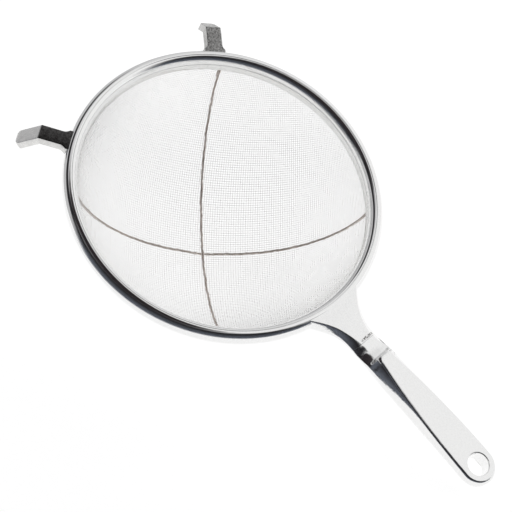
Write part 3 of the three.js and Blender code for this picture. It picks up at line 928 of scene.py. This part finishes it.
class StrainerStage(bpy.types.Operator):
    """Set the pale floor, the soft light, the dark cloths and the camera"""

    bl_idname = "strainer.stage"
    bl_label = "Stage"

    camera_azimuth = math.radians(-44.528)
    camera_elevation = math.radians(48.553)
    camera_distance = 0.85
    camera_target = np.array([-0.0439, 0.00805, 0.04])
    camera_lens = 85.32
    floor_half = 4.0
    floor_drop = 0.0004  # the floor lies this far under the strainer
    floor_matte = 0.3  # share of the floor's colour that takes light and shadow
    floor_glow = 0.92
    studio_blend = (-0.2, 0.6)  # sideways parts of a direction between which the light changes
    curtain_near, curtain_far = 0.26, 1.3  # radii
    curtain_lift = 0.002  # height of its foot
    curtain_top = math.radians(70)  # how far it goes up its circle
    curtain_sector = (-92, 76)  # degrees from the camera's direction
    curtain_heights = (0.1, 0.85)  # between which the cloth's colour changes
    wing_start, wing_sweep = -62, 118  # degrees
    wing_rise, wing_half, wing_narrowing = 53, 24, 17  # degrees
    canopy_turn = math.radians(20)
    canopy_reach, canopy_radius, canopy_height = 0.15, 0.27, 0.5

    def execute(self, context):
        self.floor(context)
        self.studio(context)
        self.curtains(context)
        self.camera(context)
        context.scene.view_settings.view_transform = "Standard"
        return {"FINISHED"}

    def floor(self, context):
        """Wide flat sheet, white to the camera and in polished metal, with a faint shadow."""
        side = np.linspace(-self.floor_half, self.floor_half, 5)
        points = stacked(side, side[:, None], -self.floor_drop)
        paper, tree = new_material("floor_paper")
        tree.nodes.remove(tree.nodes["Principled BSDF"])
        shade = [self.floor_matte * part for part in context.scene.strainer_colours.floor]
        matte = node(tree, "ShaderNodeBsdfDiffuse", Color=(*shade, 1))
        strength = reckon(tree, "MULTIPLY", self.seen_rays(tree), self.floor_glow)
        glow = node(tree, "ShaderNodeEmission", Color=(1, 1, 1, 1), Strength=strength)
        both = node(tree, "ShaderNodeAddShader")
        feed(tree, matte.outputs[0], both.inputs[0])
        feed(tree, glow.outputs[0], both.inputs[1])
        fill(tree, tree.nodes["Material Output"], Surface=both.outputs[0])
        self.add_sheet("floor", points, paper)

    @staticmethod
    def add_sheet(name, points, material):
        """Object of the stage from a grid of points."""
        faces = grid_faces(*points.shape[:2], False, False)
        mesh = bpy.data.meshes.new(name)
        mesh.from_pydata(points.reshape(-1, 3).tolist(), [], faces.tolist())
        mesh.materials.append(material)
        sheet = bpy.data.objects.new(name, mesh)
        bpy.context.scene.collection.objects.link(sheet)
        return sheet

    @staticmethod
    def seen_rays(tree):
        """1 on rays that show the background itself: straight to the camera, or in metal or glass."""
        path = node(tree, "ShaderNodeLightPath").outputs
        shine = reckon(tree, "MAXIMUM", path["Is Glossy Ray"], path["Is Transmission Ray"])
        return reckon(tree, "MAXIMUM", path["Is Camera Ray"], shine)

    def studio(self, context):
        """Soft light from all round that is stronger on the right."""
        colours = context.scene.strainer_colours
        world = bpy.data.worlds.new("studio")
        context.scene.world = world
        world.use_nodes = True
        tree = world.node_tree
        rightwards = node(tree, "ShaderNodeVectorMath", operation="DOT_PRODUCT")
        feed(tree, node(tree, "ShaderNodeTexCoord").outputs["Generated"], rightwards.inputs[0])
        feed(tree, heading(self.camera_azimuth + math.pi / 2), rightwards.inputs[1])
        share = ramp(tree, rightwards.outputs["Value"], 0, 1, *self.studio_blend)
        room = tint(tree, share, colours.studio_left, colours.studio_right)
        fill(tree, tree.nodes["Background"], Color=room)

    def curtains(self, context):
        """Dark cloths that polished metal mirrors and the camera doesn't see, with edges that fade out."""
        colours = context.scene.strainer_colours
        cloth = self.curtain_cloth("curtain_cloth", colours.curtain_low, colours.curtain_high)
        self.curtain(cloth)
        self.wing(cloth)
        self.canopy(self.curtain_cloth("canopy_cloth", colours.canopy, colours.canopy))

    def curtain(self, cloth):
        """Cloth on the camera's side, swept through a sector: first along the floor, then up a circle."""
        far = self.curtain_far
        sector = arc(*self.curtain_sector, 57) + self.camera_azimuth
        reach = np.linspace(self.curtain_near, far, 12)
        rise = np.linspace(0, self.curtain_top, 24)[1:]
        radius = np.concatenate([reach, far * np.cos(rise)])[:, None]
        height = np.concatenate([self.curtain_lift + 0 * reach, far * np.sin(rise)])[:, None]
        beside = 1 - np.abs(np.linspace(-1, 1, len(sector)))
        upwards = np.linspace(0, 1, len(radius))[:, None]
        cover = smooth(beside, 0, 0.25) * smooth(1 - upwards, 0, 0.2) * smooth(upwards, 0, 0.12)
        self.hang("curtain", cloth, self.camera_target, radius, height, sector, cover)

    def wing(self, cloth):
        """Band of cloth that goes on from the curtain's left part and narrows towards the far side."""
        share = np.linspace(0, 1, 41)
        sector = np.radians(self.wing_start - self.wing_sweep * share) + self.camera_azimuth
        across = np.linspace(-1, 1, 15)[:, None]
        rise = np.radians(self.wing_rise + across * (self.wing_half - self.wing_narrowing * share))
        radius = self.curtain_far * np.cos(rise)
        height = self.curtain_far * np.sin(rise)
        cover = smooth(share, 0, 0.2) * smooth(1 - share, 0, 0.1) * smooth(1 - np.abs(across), 0, 0.3)
        self.hang("curtain_wing", cloth, self.camera_target, radius, height, sector, cover)

    def canopy(self, cloth):
        """Round level sheet above the rim's near side, a little to the camera's left."""
        middle = self.camera_target + self.canopy_reach * heading(self.camera_azimuth - self.canopy_turn)
        radius = np.linspace(0, self.canopy_radius, 12)[:, None]
        height = self.canopy_height + 0 * radius
        sector = np.linspace(0, 2 * math.pi, 49)
        cover = smooth(1 - radius / self.canopy_radius, 0, 0.25) + 0 * sector
        self.hang("curtain_canopy", cloth, middle, radius, height, sector, cover)

    def hang(self, name, cloth, middle, radius, height, sector, cover):
        """Sheet of points at a radius, height and direction about a middle, as opaque as its cover says."""
        points = stacked(middle[0] + radius * np.cos(sector), middle[1] + radius * np.sin(sector), height)
        sheet = self.add_sheet(name, points, cloth)
        sheet.visible_camera = False
        sheet.data.shade_smooth()
        share = sheet.data.attributes.new("cover", "FLOAT", "POINT")
        share.data.foreach_set("value", cover.astype(np.float32).ravel())

    def curtain_cloth(self, name, low, high):
        """Dull cloth that goes from one colour upwards to another and is cut out by the mesh's cover."""
        made, tree = new_material(name)
        parts = node(tree, "ShaderNodeSeparateXYZ", Vector=object_place(tree))
        upwards = ramp(tree, parts.outputs["Z"], 0, 1, *self.curtain_heights)
        shade = tint(tree, upwards, low, high)
        cover = node(tree, "ShaderNodeAttribute", attribute_name="cover").outputs["Fac"]
        fill(tree, tree.nodes["Principled BSDF"], Roughness=0.9, Base_Color=shade, Alpha=cover)
        return made

    def camera(self, context):
        """Level camera that looks down at the strainer from the front of its handle's side."""
        data = bpy.data.cameras.new("view")
        data.lens = self.camera_lens
        data.sensor_width = 36
        data.clip_start = 0.01
        view = bpy.data.objects.new("view", data)
        level = math.cos(self.camera_elevation) * heading(self.camera_azimuth)
        out = level + np.array([0, 0, math.sin(self.camera_elevation)])
        view.location = self.camera_target + out * self.camera_distance
        view.rotation_euler = (math.pi / 2 - self.camera_elevation, 0, self.camera_azimuth + math.pi / 2)
        context.scene.collection.objects.link(view)
        context.scene.camera = view


class StrainerPanel(bpy.types.Panel):
    """Lists the strainer's pieces, sizes and colours"""

    bl_idname = "VIEW3D_PT_strainer"
    bl_label = "Strainer"
    bl_space_type = "VIEW_3D"
    bl_region_type = "UI"
    bl_category = "Strainer"

    def draw(self, context):
        for operator in OPERATORS:
            self.layout.operator(operator.bl_idname)
        for owner in GROUPS:
            group = getattr(context.scene, owner)
            box = self.layout.box()
            for name in group.__annotations__:
                box.prop(group, name)


GROUPS = {
    "strainer_rim": StrainerRimSizes,
    "strainer_handle": StrainerHandleSizes,
    "strainer_colours": StrainerColours,
}
OPERATORS = (StrainerRim, StrainerWeave, StrainerStays, StrainerHandle, StrainerHooks, StrainerStage)
CLASSES = (*GROUPS.values(), *OPERATORS, StrainerPanel)


def register():
    """Makes the classes known and gives every scene the strainer's values."""
    for made in CLASSES:
        bpy.utils.register_class(made)
    for name, group in GROUPS.items():
        setattr(bpy.types.Scene, name, bpy.props.PointerProperty(type=group))


def unregister():
    """Takes back what register did."""
    for name in GROUPS:
        delattr(bpy.types.Scene, name)
    for made in reversed(CLASSES):
        bpy.utils.unregister_class(made)


def main():
    """Makes the classes known, builds every piece in order and sets the stage."""
    register()
    bpy.ops.strainer.rim()
    bpy.ops.strainer.weave()
    bpy.ops.strainer.stays()
    bpy.ops.strainer.handle()
    bpy.ops.strainer.hooks()
    bpy.ops.strainer.stage()


if __name__ == "__main__":
    main()
